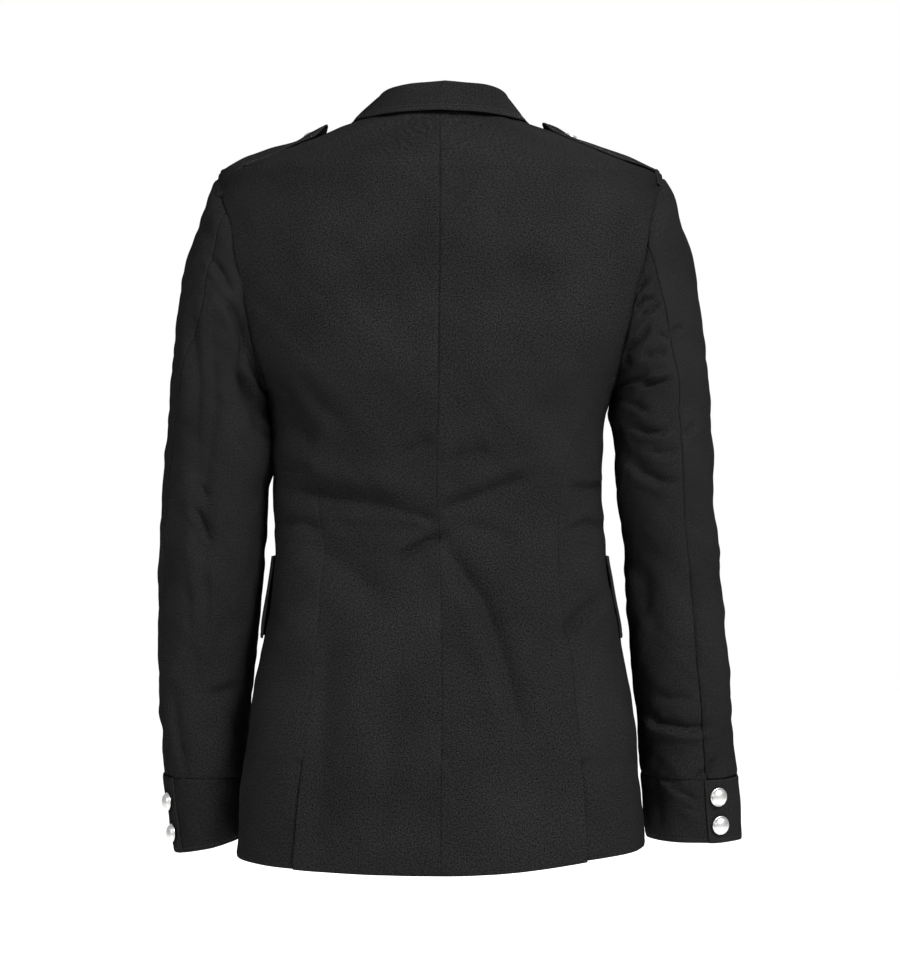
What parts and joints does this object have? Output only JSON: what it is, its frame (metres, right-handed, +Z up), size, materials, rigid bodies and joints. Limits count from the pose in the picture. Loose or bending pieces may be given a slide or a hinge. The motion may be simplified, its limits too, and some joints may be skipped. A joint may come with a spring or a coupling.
{
  "type": "military officer coat",
  "caption": "Waisted black twill uniform coat in its worn hollow form, with fall collar, shoulder straps, buttoned front, hip pocket flaps, two-piece sleeves and buttoned cuffs.",
  "frame": {"origin": "middle of the neck base, level with the points where the collar meets the shoulder seams", "axes": "+Z up, -Y towards the front, +X towards the wearer's left"},
  "size_m": [0.572, 0.2703, 0.7391],
  "materials": {
    "black_twill": "matt cotton twill, lined and pressed",
    "silver_metal": "satin silver plate on domed stamped metal"
  },
  "bodies": {
    "root": {"back_left": "black_twill", "side_left": "black_twill", "front_left": "black_twill", "lapel_left": "black_twill", "top_sleeve_left": "black_twill", "under_sleeve_left": "black_twill", "cuff_left": "black_twill", "epaulette_left": "black_twill", "hip_flap_left": "black_twill", "back_right": "black_twill", "side_right": "black_twill", "front_right": "black_twill", "lapel_right": "black_twill", "top_sleeve_right": "black_twill", "under_sleeve_right": "black_twill", "cuff_right": "black_twill", "epaulette_right": "black_twill", "hip_flap_right": "black_twill", "collar": "black_twill", "shoulder_button_left": "silver_metal", "cuff_button_left_upper": "silver_metal", "cuff_button_left_lower": "silver_metal", "shoulder_button_right": "silver_metal", "cuff_button_right_upper": "silver_metal", "cuff_button_right_lower": "silver_metal", "front_button_1": "silver_metal", "front_button_2": "silver_metal", "front_button_3": "silver_metal", "front_button_4": "silver_metal"}
  },
  "joints": []
}
